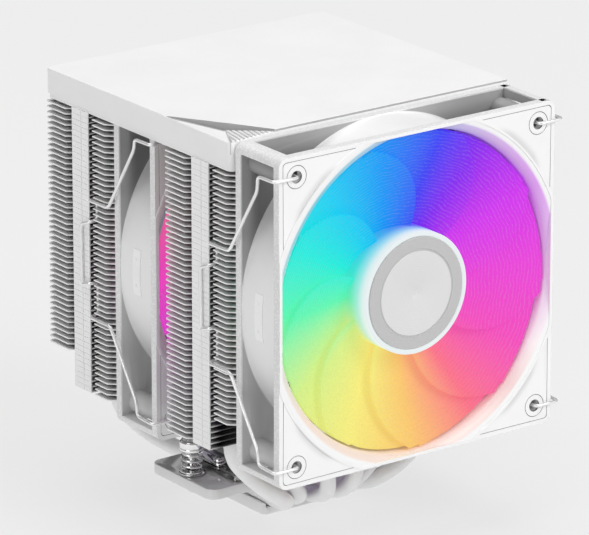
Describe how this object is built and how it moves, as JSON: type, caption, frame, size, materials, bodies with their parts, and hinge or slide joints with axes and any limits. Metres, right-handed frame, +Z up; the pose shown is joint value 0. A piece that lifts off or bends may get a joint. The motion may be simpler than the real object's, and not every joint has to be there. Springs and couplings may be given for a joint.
{
  "type": "cpu tower cooler",
  "caption": "White twin-tower processor cooler: coated fin towers on heat pipes, a top cover, wire-clipped ring-lit fans and a sprung base bracket.",
  "frame": {"origin": "centre of the cold plate's contact face", "axes": "+Z up away from the processor, air flows along +Y, the front fan faces -Y, X runs across the fans"},
  "size_m": [0.1264, 0.1409, 0.157],
  "materials": {
    "cover_white": "fine satin moulded plastic",
    "fin_white": "thin white coating on aluminium sheet",
    "pipe_white": "white coating on copper pipe, satin",
    "base_white": "white coating on machined metal, satin",
    "dark_nickel": "dark plated steel, polished edges",
    "bright_nickel": "bright nickel plating",
    "screw_steel": "turned steel",
    "clip_wire": "white coated spring steel wire",
    "frame_white": "satin moulded plastic",
    "lit_blades": "frosted translucent plastic lit in rainbow colours",
    "hub_grey": "brushed light grey disc",
    "ferrite": "pressed magnet, matt",
    "bearing_bronze": "sintered bronze",
    "winding_copper": "steel core with copper windings",
    "board_white": "white solder mask",
    "light_diffuser": "milky diffuser"
  },
  "bodies": {
    "heatsink": {"top_cover": "cover_white", "front_fin_tower": "fin_white", "rear_fin_tower": "fin_white", "heat_pipe_1": "pipe_white", "heat_pipe_2": "pipe_white", "heat_pipe_3": "pipe_white", "heat_pipe_4": "pipe_white", "heat_pipe_5": "pipe_white", "heat_pipe_6": "pipe_white", "cold_plate": "base_white", "base_block": "base_white", "mounting_plate": "base_white", "crossbar_left": "dark_nickel", "retaining_strap_left": "bright_nickel", "strap_screw_left": "screw_steel", "screw_collar_left": "screw_steel", "screw_spring_left": "bright_nickel", "crossbar_right": "dark_nickel", "retaining_strap_right": "bright_nickel", "strap_screw_right": "screw_steel", "screw_collar_right": "screw_steel", "screw_spring_right": "bright_nickel", "middle_fan_frame": "frame_white", "middle_bearing": "bearing_bronze", "middle_stator": "winding_copper", "middle_circuit_board": "board_white", "middle_light_ring": "light_diffuser"},
    "front_fan": {"front_fan_frame": "frame_white", "front_bearing": "bearing_bronze", "front_stator": "winding_copper", "front_circuit_board": "board_white", "front_light_ring": "light_diffuser"},
    "front_rotor": {"front_impeller": "lit_blades", "front_hub_cap": "hub_grey", "front_magnet_ring": "ferrite", "front_motor_shaft": "screw_steel"},
    "middle_rotor": {"middle_impeller": "lit_blades", "middle_hub_cap": "hub_grey", "middle_magnet_ring": "ferrite", "middle_motor_shaft": "screw_steel"},
    "front_clip_left": {"front_clip_left": "clip_wire"},
    "front_clip_right": {"front_clip_right": "clip_wire"},
    "middle_clip_left": {"middle_clip_left": "clip_wire"},
    "middle_clip_right": {"middle_clip_right": "clip_wire"},
    "screw_left": {"spring_screw_left": "bright_nickel"},
    "screw_right": {"spring_screw_right": "bright_nickel"}
  },
  "joints": [
    {"name": "front_fan_lift", "type": "slide", "parent": "heatsink", "child": "front_fan", "axis": [0, 0, 1], "range_m": [0, 0.025]},
    {"name": "front_rotor_spin", "type": "hinge", "parent": "front_fan", "child": "front_rotor", "pos_m": [0, -0.0702, 0.097], "axis": [0, 1, 0], "continuous": true},
    {"name": "middle_rotor_spin", "type": "hinge", "parent": "heatsink", "child": "middle_rotor", "pos_m": [0, 0.003, 0.0935], "axis": [0, 1, 0], "continuous": true},
    {"name": "front_clip_left_swing", "type": "hinge", "parent": "front_fan", "child": "front_clip_left", "pos_m": [-0.0525, -0.0838, 0.097], "axis": [0, 0, 1], "range_deg": [0, 12]},
    {"name": "front_clip_right_swing", "type": "hinge", "parent": "front_fan", "child": "front_clip_right", "pos_m": [0.0525, -0.0838, 0.097], "axis": [0, 0, -1], "range_deg": [0, 12]},
    {"name": "middle_clip_left_swing", "type": "hinge", "parent": "heatsink", "child": "middle_clip_left", "pos_m": [-0.0525, -0.0106, 0.0935], "axis": [0, 0, 1], "range_deg": [0, 12]},
    {"name": "middle_clip_right_swing", "type": "hinge", "parent": "heatsink", "child": "middle_clip_right", "pos_m": [0.0525, -0.0106, 0.0935], "axis": [0, 0, -1], "range_deg": [0, 12]},
    {"name": "screw_left_press", "type": "slide", "parent": "heatsink", "child": "screw_left", "axis": [0, 0, -1], "range_m": [0, 0.003], "stiffness_N_per_m": 900, "springref_m": -0.001, "deforming": ["screw_spring_left"]},
    {"name": "screw_right_press", "type": "slide", "parent": "heatsink", "child": "screw_right", "axis": [0, 0, -1], "range_m": [0, 0.003], "stiffness_N_per_m": 900, "springref_m": -0.001, "deforming": ["screw_spring_right"]}
  ]
}
